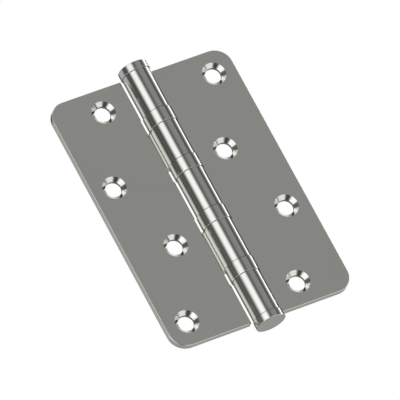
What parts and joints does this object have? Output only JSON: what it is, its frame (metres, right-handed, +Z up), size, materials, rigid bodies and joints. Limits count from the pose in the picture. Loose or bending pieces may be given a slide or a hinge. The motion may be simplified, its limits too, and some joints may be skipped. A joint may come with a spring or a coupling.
{
  "type": "ball-bearing butt hinge",
  "caption": "Rounded-corner butt hinge, opened flat, with staggered countersunk holes, rolled knuckles, thrust bearings and flat end caps on one pin.",
  "frame": {"origin": "middle of the pin, which is the centre of the overall box", "axes": "+Z up the pin, +X along the three-knuckle leaf, -Y out of the countersunk faces"},
  "size_m": [0.09, 0.014, 0.1344],
  "materials": {
    "leaf": "fine satin, polished barrel",
    "cap": "polished",
    "casing": "polished",
    "pin": "ground",
    "race": "ground",
    "cage": "pressed",
    "ball": "polished"
  },
  "bodies": {
    "fixed_leaf": {"three_knuckle_leaf": "leaf", "hinge_pin": "pin", "top_cap": "cap", "bottom_cap": "cap", "bearing_1_upper_race": "race", "bearing_2_casing": "casing", "bearing_2_lower_race": "race", "bearing_3_upper_race": "race", "bearing_4_casing": "casing", "bearing_4_lower_race": "race"},
    "swing_leaf": {"two_knuckle_leaf": "leaf", "bearing_1_casing": "casing", "bearing_1_lower_race": "race", "bearing_2_upper_race": "race", "bearing_3_casing": "casing", "bearing_3_lower_race": "race", "bearing_4_upper_race": "race"},
    "ball_set_1": {"bearing_1_cage": "cage", "bearing_1_balls": "ball"},
    "ball_set_2": {"bearing_2_cage": "cage", "bearing_2_balls": "ball"},
    "ball_set_3": {"bearing_3_cage": "cage", "bearing_3_balls": "ball"},
    "ball_set_4": {"bearing_4_cage": "cage", "bearing_4_balls": "ball"}
  },
  "joints": [
    {"name": "leaf_swing", "type": "hinge", "parent": "fixed_leaf", "child": "swing_leaf", "pos_m": [0, 0, 0], "axis": [0, 0, 1], "range_deg": [-90, 180]},
    {"name": "ball_set_1_roll", "type": "hinge", "parent": "fixed_leaf", "child": "ball_set_1", "pos_m": [0, 0, 0], "axis": [0, 0, 1], "range_deg": [-45, 90]},
    {"name": "ball_set_2_roll", "type": "hinge", "parent": "fixed_leaf", "child": "ball_set_2", "pos_m": [0, 0, 0], "axis": [0, 0, 1], "range_deg": [-45, 90]},
    {"name": "ball_set_3_roll", "type": "hinge", "parent": "fixed_leaf", "child": "ball_set_3", "pos_m": [0, 0, 0], "axis": [0, 0, 1], "range_deg": [-45, 90]},
    {"name": "ball_set_4_roll", "type": "hinge", "parent": "fixed_leaf", "child": "ball_set_4", "pos_m": [0, 0, 0], "axis": [0, 0, 1], "range_deg": [-45, 90]}
  ],
  "couplings": [
    {"joint": "ball_set_1_roll", "follows": "leaf_swing", "ratio": 0.5},
    {"joint": "ball_set_2_roll", "follows": "leaf_swing", "ratio": 0.5},
    {"joint": "ball_set_3_roll", "follows": "leaf_swing", "ratio": 0.5},
    {"joint": "ball_set_4_roll", "follows": "leaf_swing", "ratio": 0.5}
  ]
}
